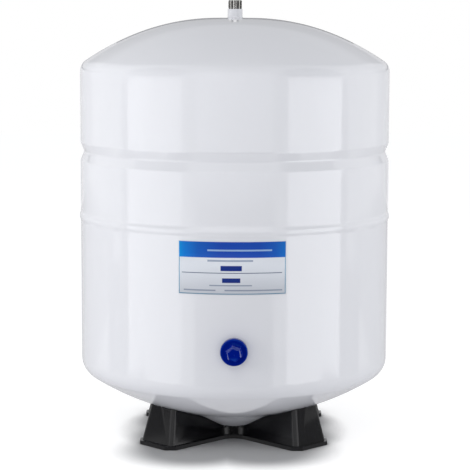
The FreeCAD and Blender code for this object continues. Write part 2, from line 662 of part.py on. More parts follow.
def screw_cap():
    on_valve_axis(turned("cap_gasket", [
        ("0", STEM_END),
        (SOCKET_R + " - Sizes.cap_gasket_fit", STEM_END),
        (SOCKET_R + " - Sizes.cap_gasket_fit", SOCKET_END),
        ("0", SOCKET_END),
    ]))

    disc = on_valve_axis(cylinder("cap_disc", "Sizes.cap_r", "Sizes.cap_disc"), CAP_BACK)
    outlines = []
    for name, flats, distance in (
        ("cap_boss_base", "Sizes.cap_boss_base", CAP_FACE),
        ("cap_boss_tip", "Sizes.cap_boss_tip", CAP_END),
    ):
        outline = document.addObject("Part::RegularPolygon", name)
        outline.Polygon = 6
        bind(
            outline,
            Circumradius=flats + " / 2 / cos(30deg)",
            Placement__Base__z=distance,
            Placement__Rotation__Angle="30 + Sizes.cap_turned",
        )
        outlines.append(outline)
    boss = document.addObject("Part::Loft", "cap_boss")
    boss.Sections = outlines
    boss.Solid = True
    boss.Ruled = True
    on_valve_axis(boss)
    outside = document.addObject("Part::Fuse", "cap_outside")
    outside.Base = disc
    outside.Tool = boss
    cavity = on_valve_axis(
        cylinder("cap_cavity", "Sizes.cap_cavity_r", "Sizes.cap_cavity"), CAP_BACK
    )
    socket = on_valve_axis(
        cylinder("cap_socket", SOCKET_R, SOCKET_END + " - " + CAP_BACK), CAP_BACK
    )
    keep(cut("valve_cap", cut("cap_hollow", outside, cavity), socket), "valve_cap")


def film_label():
    sheets = []
    for name, radius in (
        ("label_outside", "Sizes.shell_r + Sizes.label_glue + Sizes.label_wall"),
        ("label_inside", "Sizes.shell_r + Sizes.label_glue"),
    ):
        item = cylinder(name, radius, "Sizes.label_rise", "Sizes.label_z")
        item.Placement.Rotation = FreeCAD.Rotation(FreeCAD.Vector(0, 0, -1), 90)
        bind(
            item,
            Angle="Sizes.label_width / Sizes.shell_r * 180 / pi",
            Placement__Rotation__Angle=(
                "90 + (Sizes.label_width / 2 + Sizes.label_shift) / Sizes.shell_r * 180 / pi"
            ),
        )
        sheets.append(item)
    keep(cut("label", *sheets), "label")


# Stand: a cross of four hollow legs, modelled along X and Y and then turned by 45 degrees

def cross_outline(half, reach, crotch_r, corner, height, chamfered=False):
    """The outline of the four legs at one height."""
    edges = []
    bend = math.sqrt(0.5)
    for quarter in range(4):
        hub = half + crotch_r
        corners = [
            FreeCAD.Vector(hub, -half, height),
            FreeCAD.Vector(reach - corner, -half, height),
            FreeCAD.Vector(reach, corner - half, height),
            FreeCAD.Vector(reach, half - corner, height),
            FreeCAD.Vector(reach - corner, half, height),
            FreeCAD.Vector(hub, half, height),
            FreeCAD.Vector(half, hub, height),
        ]
        middles = [
            FreeCAD.Vector(reach - corner * (1 - bend), -half + corner * (1 - bend), height),
            FreeCAD.Vector(reach - corner * (1 - bend), half - corner * (1 - bend), height),
            FreeCAD.Vector(hub - crotch_r * bend, hub - crotch_r * bend, height),
        ]
        turn = FreeCAD.Rotation(Z_AXIS, 90 * quarter)
        corners = [turn.multVec(corner_point) for corner_point in corners]
        middles = [turn.multVec(middle_point) for middle_point in middles]
        edges.append(line(corners[0], corners[1]))
        if chamfered:
            edges.append(line(corners[1], corners[2]))
        else:
            edges.append(Part.Arc(corners[1], middles[0], corners[2]).toShape())
        edges.append(line(corners[2], corners[3]))
        if chamfered:
            edges.append(line(corners[3], corners[4]))
        else:
            edges.append(Part.Arc(corners[3], middles[1], corners[4]).toShape())
        edges.append(line(corners[4], corners[5]))
        edges.append(Part.Arc(corners[5], middles[2], corners[6]).toShape())
    return Part.Wire(edges)


def cross_block(inset, foot, top):
    """The drafted cross between two heights, all its walls moved inwards by inset."""
    side_draft = math.tan(math.radians(size("leg_side_draft")))
    end_draft = math.tan(math.radians(size("leg_end_draft")))
    outlines = []
    for height in (foot, top):
        narrowing = height * side_draft
        outlines.append(cross_outline(
            size("leg_half") - inset - narrowing,
            size("leg_reach") - inset - height * end_draft,
            size("crotch_r") + inset + narrowing,
            size("leg_corner_r") - inset,
            height,
        ))
    return Part.makeLoft(outlines, True, True)


def above_tank(offset):
    """Everything over the tank's bottom, its surface moved outwards by offset."""
    top = size("seam_z")
    edges = bottom_edges(offset, top)
    edges.append(line(edges[-1].Vertexes[-1].Point, point(0, top)))
    edges.append(line(point(0, top), point(size("shell_r") + offset, top)))
    return solid_of_revolution(edges)


def side_steps(crown):
    """The prisms that cut the steps into the legs' sides, up to height crown."""
    start = size("ledge_start")
    elbow = size("ledge_elbow")
    end = size("ledge_end")
    width = size("leg_half")
    outline = Part.makePolygon([
        FreeCAD.Vector(start, 0, size("ledge_start_z")),
        FreeCAD.Vector(elbow, 0, size("ledge_elbow_z")),
        FreeCAD.Vector(end, 0, size("ledge_end_z")),
        FreeCAD.Vector(end, 0, crown),
        FreeCAD.Vector(start, 0, crown),
        FreeCAD.Vector(start, 0, size("ledge_start_z")),
    ])
    prism = Part.Face(outline).extrude(FreeCAD.Vector(0, 2 * width, 0))
    prism.translate(FreeCAD.Vector(0, -width, 0))
    prisms = []
    for quarter in range(4):
        copy = prism.copy()
        copy.rotate(FreeCAD.Vector(0, 0, 0), Z_AXIS, 90 * quarter)
        prisms.append(copy)
    return prisms[0].multiFuse(prisms[1:])


def moulded_stand():
    # At the legs' own reach the dish lies above every point where they meet it.
    dish_z = foot_z + dish_centre_drop(size("foot_knuckle_r"))
    crown = dish_z - math.sqrt(size("dish_r") ** 2 - size("leg_reach") ** 2)
    wall = size("stand_wall")
    gap = size("seat_gap")
    skin_middle = above_tank(gap + wall / 2)
    legs = cross_block(0, 0, crown)
    flange_outline = cross_outline(
        size("leg_half") + size("foot_flange_side"),
        size("leg_reach") + size("foot_flange_end"),
        size("crotch_r") - size("foot_flange_side"),
        size("foot_flange_corner"),
        0,
        chamfered=True,
    )
    flange = Part.Face(flange_outline).extrude(Z_AXIS * size("foot_flange_wall"))
    steps = side_steps(crown).cut(cross_block(size("ledge_depth"), 0, crown))
    hollow = cross_block(wall, 0, crown).cut(above_tank(gap + wall))
    outside = legs.cut(steps).fuse(flange)
    body = outside.cut(above_tank(gap)).cut(hollow)

    rib = size("rib_wall")
    reach = size("leg_reach")
    bars = []
    for length, width in ((2 * reach, rib), (rib, 2 * reach)):
        corner = FreeCAD.Vector(-length / 2, -width / 2, size("rib_lift"))
        bars.append(Part.makeBox(length, width, crown, corner))
    bars.append(Part.makeCylinder(size("hub_pad_r"), crown))
    web = bars[0].multiFuse(bars[1:])
    web = web.common(cross_block(wall / 2, 0, crown)).cut(skin_middle)
    body = body.fuse(web).removeSplitter()
    turn = FreeCAD.Rotation(Z_AXIS, 45)
    made("stand", body, FreeCAD.Placement(FreeCAD.Vector(0, 0, 0), turn))


steel_shell()
outlet()
water_side()
air_valve()
valve_core()
screw_cap()
film_label()
moulded_stand()

document.recompute()
for item in document.Objects:
    if "Invalid" in item.State or "Error" in item.State:
        raise RuntimeError("%s did not recompute: %s" % (item.Label, item.State))
for item in pieces:
    if item.Shape.isNull() or not item.Shape.isValid():
        raise RuntimeError("%s has no valid shape" % item.Label)

os.makedirs("parts", exist_ok=True)
for item in pieces:
    item.Shape.exportStep("parts/%s.step" % item.Label)
    box = item.Shape.BoundBox
    print("%-18s %2d solids %12.1f mm3  z %7.2f to %7.2f" % (
        item.Label, len(item.Shape.Solids), item.Shape.Volume, box.ZMin, box.ZMax
    ))
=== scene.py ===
# Looks of the reverse osmosis storage tank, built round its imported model.
# The tank's sizes are in millimetres and turned into metres where a mesh is made.
# The stage's sizes are in metres.
import json
import math

import bmesh
import bpy
from mathutils import Matrix, Vector


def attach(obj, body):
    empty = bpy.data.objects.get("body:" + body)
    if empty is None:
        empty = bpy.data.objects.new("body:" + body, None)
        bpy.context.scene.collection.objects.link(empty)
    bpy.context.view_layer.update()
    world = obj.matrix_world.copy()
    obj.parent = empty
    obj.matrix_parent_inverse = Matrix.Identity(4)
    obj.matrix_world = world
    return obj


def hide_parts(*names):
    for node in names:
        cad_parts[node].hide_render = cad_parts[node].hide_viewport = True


MM = 0.001
ROUND = 2 * math.pi

# A straight run has a point this far from each end, so that the shading between stays flat.
RUN_EDGE = 0.6
SHORT_RUN_EDGE = 0.2
# Faces that meet at more degrees than this keep a crisp edge.
CREASE = 35.0

# Shell
SHELL_R = 139.5
SHELL_WALL = 1.0
SEAM_Z = 200.5
DISH_R = 240.0
SHOULDER_Z = 330.0
SHOULDER_R = 12.0
CROWN_FLAT = 3.0
CROWN_LAND_R = 15.2
FOOT_R = 17.0
# The boss pressed into the bottom
NOSE_Z = 6.54
NOSE_DROP = 10.5
NOSE_CONE_R = 57.6
NOSE_SLOPE = 30.0
NOSE_FILLET_R = 40.0
NOSE_EDGE_R = 20.0
# The rolled groove and the welded seam
GROOVE_Z = 258.8
GROOVE_HALF = 9.0
GROOVE_DEPTH = 3.0
GROOVE_LIP_R = 5.0
GROOVE_ROOT_R = 3.5
BEAD_HALF = 5.3
BEAD_PROUD = 1.08
BEAD_SINK = 0.5

# Outlet
PORT_R = 5.3
NECK_R = 6.6
NECK_RISE = 8.0
NECK_LIP_R = 0.45
WELD_LEG = 1.3
WELD_SINK = 0.4
THREAD_R = 6.1
THREAD_ROOT_R = 5.85
THREAD_PITCH = 1.41
THREAD_RISE = 8.0
THREAD_START = 0.95
THREAD_TURNS = 4
THREAD_STEPS = 48
THREAD_CHAMFER = 0.45
TOOTH_FOOT_HALF = 0.66
TOOTH_TIP_HALF = 0.50
TOOTH_SINK = 0.1
SHANK_R = 5.2
OUTLET_BORE_R = 3.2
BORE_CHAMFER = 0.35
SHANK_FOOT_Z = 367.6

# Air valve and its cap; distances are from the tank's axis
VALVE_Z = 99.8
VALVE_HOLE_R = 4.4
VALVE_HOLE_REACH = 5.0
VALVE_RING = 8.0
CAP_BACK = 140.3
CAP_FACE = 146.2
CAP_END = 158.5
CAP_R = 11.7
CAP_CAVITY_R = 9.4
CAP_CAVITY_END = 144.6
SOCKET_R = 3.93
SOCKET_END = 155.5
SOCKET_WALL = 0.7
SOCKET_CROWN = 0.9
CAP_MOUTH_R = 0.3
CAP_BACK_R = 0.4
CAP_FACE_R = 1.3
BOSS_BASE = 13.6
BOSS_TIP = 9.8
BOSS_TURN = 12.0
BOSS_SINK = 0.2
BOSS_RIM = 1.0
BOSS_DISH = 0.35
CAP_EDGE = 0.4
GATE_R = 0.55
GATE_SQUASH = 0.4

# Stand
STAND_EDGE = 0.5

# Label
LABEL_R = 139.7
LABEL_WALL = 0.15
LABEL_WIDTH = 92.0
LABEL_Z = 147.8
LABEL_RISE = 45.2
LABEL_SHIFT = 1.7
PRINT_EDGE = 0.12
PRINT_MARGIN = 0.5
FRAME_LINE = 0.55
HEAD_FOOT = 31.4
# Colours along the head band, each with its place from the left as a share of the width
HEAD_BLUES = (
    (0.0, (0.0, 0.31, 0.74)),
    (0.05, (0.0, 0.20, 0.68)),
    (0.18, (0.0, 0.105, 0.50)),
    (0.40, (0.0, 0.055, 0.42)),
    (0.75, (0.0, 0.062, 0.43)),
    (0.90, (0.002, 0.10, 0.50)),
    (1.0, (0.004, 0.17, 0.60)),
)
FRAME_BLUE = (0.02, 0.24, 0.42)
BAR_BLUE = (0.0, 0.022, 0.22)
PALE_BLUE = (0.30, 0.46, 0.70)
RULE_BLUE = (0.06, 0.09, 0.17)
GREY_BLUE = (0.33, 0.38, 0.48)
PAPER_SHADES = ((0.72, 0.75, 0.80), (0.75, 0.775, 0.82))
# Bars and rules: ink, left, right, low and high, from the label's lower left
PRINTED_FIELDS = (
    (PALE_BLUE, 25.1, 79.6, 36.9, 38.3),
    (GREY_BLUE, 25.1, 63.5, 28.0, 29.6),
    (BAR_BLUE, 36.2, 54.1, 20.2, 24.6),
    (RULE_BLUE, 3.0, 88.4, 18.1, 18.7),
    (BAR_BLUE, 37.5, 52.8, 10.2, 14.1),
    (GREY_BLUE, 26.8, 62.6, 7.4, 8.4),
    (GREY_BLUE, 4.7, 32.0, 3.2, 4.3),
    (GREY_BLUE, 39.6, 88.6, 3.2, 4.3),
)

# Finishes of the pieces inside, by the record's material slot: name, darker and lighter shade,
# the grain's size, strength and depth, the roughness and how metallic it is
INSIDE_FINISHES = {
    "zinc_steel": (
        "zinc_plate", (0.56, 0.57, 0.60), (0.68, 0.69, 0.71), 260.0, 0.1, 0.00005,
        (0.28, 0.42), 1.0,
    ),
    "spring_steel": (
        "drawn_wire", (0.45, 0.45, 0.47), (0.58, 0.58, 0.60), 1500.0, 0.1, 0.00002,
        (0.2, 0.3), 1.0,
    ),
    "valve_brass": (
        "turned_brass", (0.66, 0.47, 0.20), (0.76, 0.57, 0.28), 900.0, 0.15, 0.00003,
        (0.2, 0.32), 1.0,
    ),
    "seal_rubber": (
        "seal_rubber", (0.018, 0.018, 0.018), (0.03, 0.03, 0.03), 700.0, 0.3, 0.00005,
        (0.55, 0.75), 0.0,
    ),
    "butyl_rubber": (
        "butyl_sheet", (0.02, 0.02, 0.022), (0.035, 0.035, 0.037), 300.0, 0.35, 0.0001,
        (0.6, 0.8), 0.0,
    ),
    "liner_plastic": (
        "natural_liner", (0.70, 0.70, 0.67), (0.78, 0.78, 0.75), 220.0, 0.15, 0.00008,
        (0.38, 0.5), 0.0,
    ),
}

# Floor: its tone for the light, its tone for the eye, and the painted contact shade round the
# feet, where its glow fades
FLOOR_R = 4.0
FLOOR_DROP = 0.0002
FLOOR_LIT_TONE = (0.90, 0.90, 0.91)
FLOOR_SEEN_TONE = (0.43, 0.43, 0.43)
PAINTED_CONTACT_REACH = 0.04
PAINTED_CONTACT_RANGE = (0.5, 0.95)
PAINTED_CONTACT_GLOW = (0.0, 0.75)
# A painted soft shadow in front of the stand: two ellipses, to the left and right of a middle
SHADOW_POOL_X = -0.006
SHADOW_POOL_Y = -0.085
SHADOW_POOL_APART = 0.03
SHADOW_POOL_HALVES = (0.08, 0.075)
SHADOW_POOL_FADE = (0.0, 0.6)
FOLD_CLEARANCE = 10.0

# Light and cards
AIR_TONE = (0.94, 0.96, 1.0)
AIR_STRENGTH = 0.60
CARD_SIDE = 0.45
CARD_Z = 0.0825
CARD_HEIGHT = 0.465
RAIL_LOW = 0.380
RAIL_HIGH = 0.408
RAIL_R = 1.0
ARCH_Y = 0.1
ARCH_RADII = (0.238, 0.263)
ARCH_START = 62.0
ARCH_SPAN = 56.0

# Camera, as solved from the photograph
PHOTO_PIXELS = 470
FOCAL_PIXELS = 1763.3
SENSOR = 36.0
CAMERA_PLACE = (-0.0001, -1.6, 0.3835)
CAMERA_DROP = 7.218
CAMERA_ROLL = -0.2


# Drawing a half section point by point, then turning it

def section_start(radius, height):
    """A new shape with the first point of a half section in the XZ plane."""
    shape = bmesh.new()
    made = bmesh.ops.create_vert(shape, co=(radius * MM, 0, height * MM))
    return shape, made["vert"][0]


def straight(shape, tip, radius, height, flat=0.0):
    """Draw a run to a point; flat adds a point that far from either end of it."""
    end = Vector((radius * MM, 0, height * MM))
    start = tip.co.copy()
    stops = [end]
    if flat:
        step = (end - start).normalized() * flat * MM
        stops = [start + step, end - step, end]
    for stop in stops:
        tip = bmesh.ops.extrude_vert_indiv(shape, verts=[tip])["verts"][0]
        tip.co = stop
    return tip


def bend(shape, tip, radius, height, degrees, steps):
    """Swing the tip round a centre; degrees count from +X towards +Z."""
    grown = bmesh.ops.spin(
        shape, geom=[tip], cent=(radius * MM, 0, height * MM), axis=(0, -1, 0),
        angle=math.radians(degrees), steps=steps, use_duplicate=False,
    )
    return [part for part in grown["geom_last"] if isinstance(part, bmesh.types.BMVert)][0]


def swing_edge(ends, centre, axis, degrees, steps):
    """A strip: the edge between two points in metres, swung about an axis."""
    shape = bmesh.new()
    tips = [bmesh.ops.create_vert(shape, co=end)["vert"][0] for end in ends]
    edge = shape.edges.new(tips)
    bmesh.ops.spin(
        shape, geom=tips + [edge], cent=centre, axis=axis,
        angle=math.radians(degrees), steps=steps, use_duplicate=False,
    )
    return shape


def rod(radius, low, high, segments):
    """A closed cylinder that stands on the axis between two heights."""
    shape = bmesh.new()
    bmesh.ops.create_cone(
        shape, cap_ends=True, segments=segments, radius1=radius * MM, radius2=radius * MM,
        depth=(high - low) * MM, matrix=Matrix.Translation((0, 0, (high + low) / 2 * MM)),
    )
    return shape


def settle(shape):
    """Put points, edges and faces in a fixed order, so that every run gives the same mesh."""
    along = Vector((0.271, 0.618, 0.382))
    shape.verts.sort(key=lambda point: point.co.dot(along))
    shape.edges.sort(key=lambda edge: (edge.verts[0].co + edge.verts[1].co).dot(along))
    shape.faces.sort(key=lambda face: face.calc_center_median().dot(along))


def turn(shape, steps=256):
    """Turn the half section about the vertical axis and weld it."""
    bmesh.ops.spin(
        shape, geom=shape.verts[:] + shape.edges[:], cent=(0, 0, 0), axis=(0, 0, 1),
        angle=ROUND, steps=steps, use_merge=True, use_duplicate=False,
    )
    bmesh.ops.remove_doubles(shape, verts=shape.verts[:], dist=0.00001)
    bmesh.ops.recalc_face_normals(shape, faces=shape.faces[:])
    settle(shape)


def lay_on_valve(shape):
    """Move a shape drawn along +Z so that it points out of the wall at the valve."""
    move = Matrix.Translation((0, 0, VALVE_Z * MM)) @ Matrix.Rotation(math.radians(90), 4, "X")
    bmesh.ops.transform(shape, matrix=move, verts=shape.verts[:])


def as_object(name, shape, crease=CREASE):
    """Turn a shape into an object with smooth faces and sharp creases."""
    mesh = bpy.data.meshes.new(name)
    shape.to_mesh(mesh)
    shape.free()
    mesh.shade_smooth()
    mesh.set_sharp_from_angle(angle=math.radians(crease))
    piece = bpy.data.objects.new(name, mesh)
    bpy.context.scene.collection.objects.link(piece)
    return piece


def dress(piece, material, body, nodes):
    """Give a piece its material and the body it rides on, and hide the nodes it stands for."""
    piece.data.materials.clear()
    piece.data.materials.append(material)
    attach(piece, body)
    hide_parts(*nodes)


def give_wall(piece, thickness):
    """Thicken a skin inwards."""
    wall = piece.modifiers.new("wall", "SOLIDIFY")
    wall.thickness = thickness * MM
    wall.offset = -1


def round_edges(piece, width, segments, angle):
    """Round every edge where the faces meet at more than an angle."""
    edge = piece.modifiers.new("rounded_edges", "BEVEL")
    edge.width = width * MM
    edge.segments = segments
    edge.limit_method = "ANGLE"
    edge.angle_limit = math.radians(angle)
    edge.harden_normals = False


def carve(piece, tool, operation):
    """Join or cut one closed shape with another and keep only the result."""
    step = piece.modifiers.new("carve", "BOOLEAN")
    step.operation = operation
    step.solver = "EXACT"
    step.object = tool
    view = bpy.context.evaluated_depsgraph_get()
    carved = bpy.data.meshes.new_from_object(piece.evaluated_get(view))
    piece.modifiers.clear()
    piece.data = carved
    bpy.data.objects.remove(tool)


# Shell

def dish_below(corner_r):
    """How far the dish's centre lies from the corner's centre, along the axis."""
    return math.sqrt((DISH_R - corner_r) ** 2 - (SHELL_R - corner_r) ** 2)


def draw_groove(shape, tip):
    """The wall up to and through the V-groove: lip, flank, root, flank, lip."""
    across = GROOVE_LIP_R + GROOVE_ROOT_R - GROOVE_DEPTH
    reach = math.hypot(across, GROOVE_HALF)
    flank = math.degrees(
        math.atan2(GROOVE_HALF, across) - math.acos((GROOVE_LIP_R + GROOVE_ROOT_R) / reach)
    )
    low = GROOVE_Z - GROOVE_HALF
    high = GROOVE_Z + GROOVE_HALF
    lip_x = SHELL_R - GROOVE_LIP_R
    root_x = SHELL_R - GROOVE_DEPTH + GROOVE_ROOT_R
    cosine = math.cos(math.radians(flank))
    sine = math.sin(math.radians(flank))
    tip = straight(shape, tip, SHELL_R, low, flat=RUN_EDGE)
    tip = bend(shape, tip, lip_x, low, flank, 8)
    tip = straight(
        shape, tip, root_x - GROOVE_ROOT_R * cosine, GROOVE_Z - GROOVE_ROOT_R * sine,
        flat=SHORT_RUN_EDGE,
    )
    tip = bend(shape, tip, root_x, GROOVE_Z, -2 * flank, 12)
    tip = straight(
        shape, tip, lip_x + GROOVE_LIP_R * cosine, high - GROOVE_LIP_R * sine,
        flat=SHORT_RUN_EDGE,
    )
    return bend(shape, tip, lip_x, high, flank, 8)


def crown_land():
    """The height of the flat round the outlet."""
    return SHOULDER_Z - dish_below(SHOULDER_R) + DISH_R - CROWN_FLAT


def make_dome():
    """The upper half: wall, groove, shoulder, dish and the flat round the outlet."""
    below = dish_below(SHOULDER_R)
    dish_z = SHOULDER_Z - below
    land = crown_land()
    blend_x = CROWN_LAND_R
    blend_z = land - DISH_R + CROWN_FLAT / 2 + blend_x ** 2 / CROWN_FLAT / 2
    shoulder_turn = math.degrees(math.atan2(below, SHELL_R - SHOULDER_R))
    blend_turn = math.degrees(math.atan2(blend_z - dish_z, blend_x))
    shape, tip = section_start(SHELL_R, SEAM_Z)
    tip = draw_groove(shape, tip)
    tip = straight(shape, tip, SHELL_R, SHOULDER_Z, flat=RUN_EDGE)
    tip = bend(shape, tip, SHELL_R - SHOULDER_R, SHOULDER_Z, shoulder_turn, 14)
    tip = bend(shape, tip, 0, dish_z, blend_turn - shoulder_turn, 14)
    tip = bend(shape, tip, blend_x, blend_z, 90 - blend_turn, 18)
    straight(shape, tip, PORT_R, land, flat=RUN_EDGE)
    turn(shape)
    return as_object("painted_dome", shape)


def make_base():
    """The lower half: wall, corner, dish and the pressed boss under it."""
    below = dish_below(FOOT_R)
    dish_z = NOSE_Z + NOSE_DROP + DISH_R
    foot_z = dish_z - below
    foot_turn = math.degrees(math.atan2(below, SHELL_R - FOOT_R))
    # The cone of the boss, the hollow fillet above it and the round edge below it.
    slope = math.radians(NOSE_SLOPE)
    along = Vector((math.cos(slope), 0, math.sin(slope)))
    outwards = Vector((math.sin(slope), 0, -math.cos(slope)))
    dish = Vector((0, 0, dish_z))
    meeting = Vector((NOSE_CONE_R, 0, dish_z - math.sqrt(DISH_R ** 2 - NOSE_CONE_R ** 2)))
    reach = meeting - dish + outwards * NOSE_FILLET_R
    back = reach.dot(along)
    slide = -back - math.sqrt(back ** 2 - reach.length_squared + (DISH_R + NOSE_FILLET_R) ** 2)
    fillet = dish + reach + along * slide
    fillet_turn = math.degrees(math.atan2(fillet.z - dish_z, fillet.x))
    edge_z = NOSE_Z + NOSE_EDGE_R
    rise = (edge_z - meeting.z) * math.cos(slope) - NOSE_EDGE_R
    edge = Vector((NOSE_CONE_R + rise / math.sin(slope), 0, edge_z))
    cone_foot = edge + outwards * NOSE_EDGE_R
    shape, tip = section_start(SHELL_R, SEAM_Z)
    # Two rings close to the valve keep the faces round its hole small.
    for height in (VALVE_Z + VALVE_RING, VALVE_Z - VALVE_RING, foot_z):
        tip = straight(shape, tip, SHELL_R, height, flat=RUN_EDGE)
    tip = bend(shape, tip, SHELL_R - FOOT_R, foot_z, -foot_turn, 18)
    tip = bend(shape, tip, 0, dish_z, fillet_turn + foot_turn, 16)
    tip = bend(shape, tip, fillet.x, fillet.z, NOSE_SLOPE - 90 - fillet_turn, 8)
    tip = straight(shape, tip, cone_foot.x, cone_foot.z, flat=0.4)
    tip = bend(shape, tip, edge.x, edge.z, -NOSE_SLOPE, 8)
    straight(shape, tip, 0, NOSE_Z, flat=RUN_EDGE)
    turn(shape)
    return as_object("painted_base", shape)


def pierce_base(base):
    """The hole in the wall that the air valve's stem passes through."""
    shape = rod(VALVE_HOLE_R, SHELL_R - VALVE_HOLE_REACH, SHELL_R + VALVE_HOLE_REACH, 64)
    lay_on_valve(shape)
    carve(base, as_object("valve_hole", shape), "DIFFERENCE")
    base.data.set_sharp_from_angle(angle=math.radians(CREASE))


def make_bead():
    """The seam weld: a low even swell that runs out flush above and below."""
    angle = math.degrees(2 * math.atan2(BEAD_PROUD, BEAD_HALF))
    arc_r = BEAD_HALF / math.sin(math.radians(angle)) / 2
    low = SEAM_Z - BEAD_HALF
    high = SEAM_Z + BEAD_HALF
    shape, tip = section_start(SHELL_R, low)
    first = tip
    tip = bend(shape, tip, SHELL_R + arc_r, low, -angle, 6)
    tip = bend(shape, tip, SHELL_R + BEAD_PROUD - arc_r, SEAM_Z, 2 * angle, 10)
    tip = bend(shape, tip, SHELL_R + arc_r, high, -angle, 6)
    tip = straight(shape, tip, SHELL_R - BEAD_SINK, high)
    tip = straight(shape, tip, SHELL_R - BEAD_SINK, low)
    shape.edges.new((tip, first))
    turn(shape)
    return as_object("seam_bead", shape, crease=60.0)


# Outlet

def make_collar():
    """The painted collar with its fillet weld, both as one painted turned form."""
    land = crown_land()
    top = land + NECK_RISE
    weld_r = NECK_R + WELD_LEG
    shape, tip = section_start(PORT_R, land - WELD_SINK)
    first = tip
    tip = straight(shape, tip, weld_r, land - WELD_SINK)
    tip = straight(shape, tip, weld_r, land)
    tip = bend(shape, tip, weld_r, land + WELD_LEG, -90, 8)
    tip = straight(shape, tip, NECK_R, top - NECK_LIP_R, flat=SHORT_RUN_EDGE)
    tip = bend(shape, tip, NECK_R - NECK_LIP_R, top - NECK_LIP_R, 90, 5)
    tip = straight(shape, tip, PORT_R, top, flat=0.1)
    shape.edges.new((tip, first))
    turn(shape, steps=96)
    return as_object("painted_collar", shape, crease=50.0)


def make_outlet():
    """The bare connector: shank, relief, thread and chamfered mouth."""
    foot = crown_land() + NECK_RISE
    top = foot + THREAD_RISE
    shape, tip = section_start(OUTLET_BORE_R, SHANK_FOOT_Z)
    first = tip
    tip = straight(shape, tip, SHANK_R, SHANK_FOOT_Z)
    tip = straight(shape, tip, SHANK_R, foot)
    tip = straight(shape, tip, THREAD_ROOT_R, foot)
    tip = straight(shape, tip, THREAD_ROOT_R, top - THREAD_CHAMFER)
    tip = straight(shape, tip, SHANK_R, top)
    tip = straight(shape, tip, OUTLET_BORE_R + BORE_CHAMFER, top)
    tip = straight(shape, tip, OUTLET_BORE_R, top - BORE_CHAMFER)
    shape.edges.new((tip, first))
    turn(shape, steps=96)
    # One tooth of the thread, swung up in a helix round the root.
    tooth = []
    for radius, height in (
        (THREAD_ROOT_R - TOOTH_SINK, -TOOTH_FOOT_HALF),
        (THREAD_R, -TOOTH_TIP_HALF),
        (THREAD_R, TOOTH_TIP_HALF),
        (THREAD_ROOT_R - TOOTH_SINK, TOOTH_FOOT_HALF),
    ):
        place = (radius * MM, 0, (foot + THREAD_START + height) * MM)
        tooth.append(bmesh.ops.create_vert(shape, co=place)["vert"][0])
    face = shape.faces.new(tooth)
    bmesh.ops.spin(
        shape, geom=[face] + face.verts[:] + face.edges[:], cent=(0, 0, 0), axis=(0, 0, 1),
        dvec=(0, 0, THREAD_PITCH * MM / THREAD_STEPS), angle=THREAD_TURNS * ROUND,
        steps=THREAD_TURNS * THREAD_STEPS, use_duplicate=False,
    )
    bmesh.ops.recalc_face_normals(shape, faces=shape.faces[:])
    settle(shape)
    return as_object("threaded_outlet", shape, crease=30.0)


# Cap on the air valve

def make_boss():
    """The tapered hexagon in front of the flange, its face dished a little inside the rim."""
    boss = bmesh.new()
    rise = CAP_END - CAP_FACE + BOSS_SINK
    corner = 1 / math.cos(math.radians(30)) / 2
    bmesh.ops.create_cone(
        boss, cap_ends=True, segments=6, radius1=BOSS_BASE * corner * MM,
        radius2=BOSS_TIP * corner * MM, depth=rise * MM,
        matrix=Matrix.Rotation(math.radians(BOSS_TURN), 4, "Z"),
    )
    bmesh.ops.translate(boss, vec=(0, 0, (CAP_END - rise / 2) * MM), verts=boss.verts[:])
    front = [face for face in boss.faces if face.normal.z > 0.9]
    bmesh.ops.inset_region(boss, faces=front, thickness=BOSS_RIM * MM, use_even_offset=True)
    dished = {point for face in front for point in face.verts}
    bmesh.ops.translate(boss, vec=(0, 0, -BOSS_DISH * MM), verts=list(dished))
    return as_object("boss", boss)


def make_gate():
    """The small mark that the mould leaves in the middle of the cap's face."""
    shape = bmesh.new()
    place = Matrix.Translation((0, 0, (CAP_END - BOSS_DISH) * MM))
    bmesh.ops.create_uvsphere(
        shape, u_segments=16, v_segments=8, radius=GATE_R * MM,
        matrix=place @ Matrix.Diagonal((1, 1, GATE_SQUASH, 1)),
    )
    return as_object("gate", shape)


def make_cap():
    """Round flange and socket, turned, with a tapered hexagon boss joined on."""
    shape, tip = section_start(0, SOCKET_END)
    tip = straight(shape, tip, SOCKET_R, SOCKET_END)
    tip = straight(shape, tip, SOCKET_R, CAP_CAVITY_END)
    tip = straight(shape, tip, CAP_CAVITY_R, CAP_CAVITY_END)
    tip = straight(shape, tip, CAP_CAVITY_R, CAP_BACK + CAP_MOUTH_R)
    tip = bend(shape, tip, CAP_CAVITY_R + CAP_MOUTH_R, CAP_BACK + CAP_MOUTH_R, 90, 3)
    tip = straight(shape, tip, CAP_R - CAP_BACK_R, CAP_BACK)
    tip = bend(shape, tip, CAP_R - CAP_BACK_R, CAP_BACK + CAP_BACK_R, 90, 4)
    tip = straight(shape, tip, CAP_R, CAP_FACE - CAP_FACE_R, flat=SHORT_RUN_EDGE)
    tip = bend(shape, tip, CAP_R - CAP_FACE_R, CAP_FACE - CAP_FACE_R, 90, 7)
    tip = straight(shape, tip, SOCKET_R + SOCKET_WALL, CAP_FACE, flat=SHORT_RUN_EDGE)
    tip = straight(shape, tip, SOCKET_R + SOCKET_WALL, SOCKET_END + SOCKET_CROWN)
    straight(shape, tip, 0, SOCKET_END + SOCKET_CROWN)
    turn(shape, steps=96)
    cap = as_object("screw_cap", shape)
    carve(cap, make_boss(), "UNION")
    socket = rod(SOCKET_R, CAP_CAVITY_END, SOCKET_END, 96)
    carve(cap, as_object("socket", socket), "DIFFERENCE")
    round_edges(cap, CAP_EDGE, segments=3, angle=25.0)
    carve(cap, make_gate(), "UNION")
    final = bmesh.new()
    final.from_mesh(cap.data)
    lay_on_valve(final)
    final.to_mesh(cap.data)
    final.free()
    cap.data.shade_smooth()
    cap.data.set_sharp_from_angle(angle=math.radians(CREASE))
    return cap


# Label

